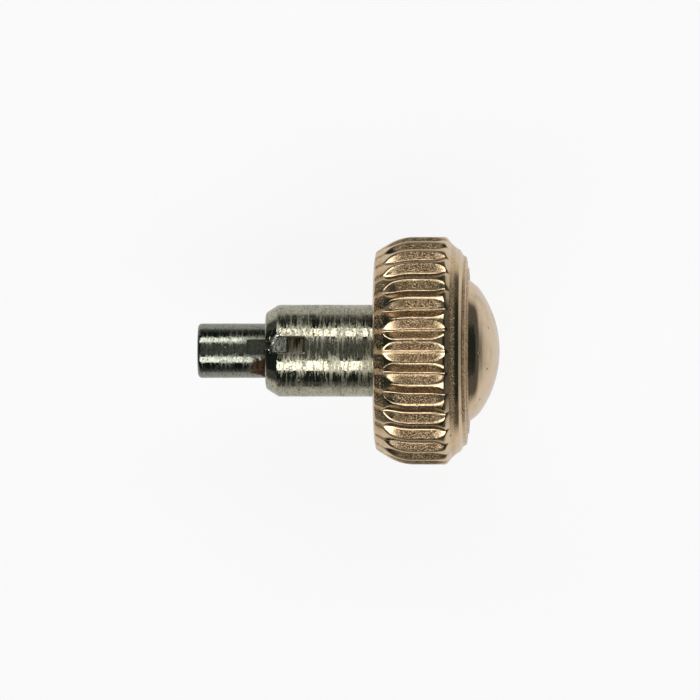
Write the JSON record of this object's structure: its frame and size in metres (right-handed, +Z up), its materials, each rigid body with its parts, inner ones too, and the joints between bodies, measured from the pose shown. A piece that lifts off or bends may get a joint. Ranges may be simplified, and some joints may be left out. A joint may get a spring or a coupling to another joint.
{
  "type": "screw-down watch crown",
  "caption": "Screw-down watch crown, rose gold over steel: fluted rim, rounded bead and domed top, with a slotted steel barrel and a sprung, keyed post tapped for the winding stem.",
  "frame": {"origin": "centre of the mouth of the stem thread, on the crown's axis, at the free end of the post", "axes": "+X along the crown's axis, from the post towards the dome; +Z up, with the crown lying on its rim as in the picture, which looks down on it, and the barrel's slot on top, turned 8 degrees towards +Y"},
  "size_m": [0.0079, 0.006, 0.006],
  "materials": {
    "rose_gold": "polished rose gold, satin in the flutes, with fine scratches",
    "core_steel": "turned steel",
    "barrel_steel": "turned and worn steel with small pits",
    "post_steel": "burnished steel with a rust stain by the barrel",
    "spring_steel": "drawn spring wire",
    "gasket_rubber": "smooth black rubber"
  },
  "bodies": {
    "post": {"stem_post": "post_steel", "drive_key": "barrel_steel", "post_spring": "spring_steel"},
    "crown": {"fluted_shell": "rose_gold", "dome_cap": "rose_gold", "crown_core": "core_steel", "gasket_washer": "core_steel", "crown_gasket": "gasket_rubber", "post_barrel": "barrel_steel", "spring_seat": "core_steel"}
  },
  "joints": [
    {"name": "crown_push", "type": "slide", "parent": "post", "child": "crown", "axis": [-1, 0, 0], "range_m": [0, 0.00045], "stiffness_N_per_m": 1000, "springref_m": -0.001, "deforming": ["post_spring"]}
  ]
}
